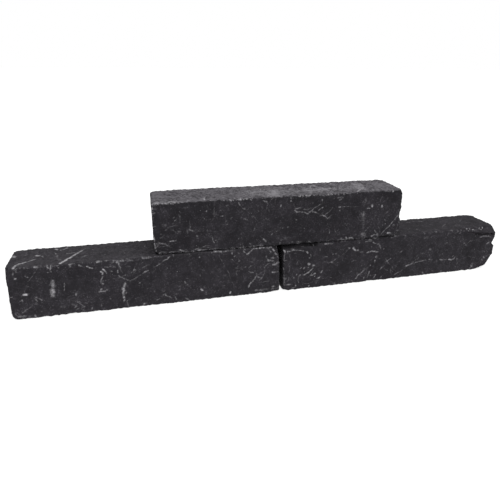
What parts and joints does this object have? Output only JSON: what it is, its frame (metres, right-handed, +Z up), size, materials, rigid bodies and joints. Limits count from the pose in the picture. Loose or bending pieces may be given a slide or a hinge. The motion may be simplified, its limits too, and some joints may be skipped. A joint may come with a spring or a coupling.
{
  "type": "stacked walling blocks",
  "caption": "Dry-laid stack of tumbled black concrete walling blocks in running bond, the upper one bridging the joint between the two below.",
  "frame": {"origin": "bottom centre of the whole stack's bounding box, on the ground", "axes": "+X along the row of lower blocks towards the right one, +Y back from the front faces, +Z up"},
  "size_m": [1.208, 0.1308, 0.24],
  "materials": {
    "lower_left_concrete": "black-pigmented concrete, tumbled, with pale scuffs",
    "lower_right_concrete": "black-pigmented concrete, tumbled and broken at the corners",
    "upper_concrete": "black-pigmented concrete, tumbled, with a dusty paler top"
  },
  "bodies": {
    "lower_left": {"lower_left_block": "lower_left_concrete"},
    "lower_right": {"lower_right_block": "lower_right_concrete"},
    "upper": {"upper_block": "upper_concrete"}
  },
  "joints": [
    {"name": "upper_lift", "type": "slide", "parent": "lower_left", "child": "upper", "axis": [0, 0, 1], "range_m": [0, 0.15]},
    {"name": "lower_right_slide", "type": "slide", "parent": "lower_left", "child": "lower_right", "axis": [1, 0, 0], "range_m": [0, 0.32]}
  ]
}
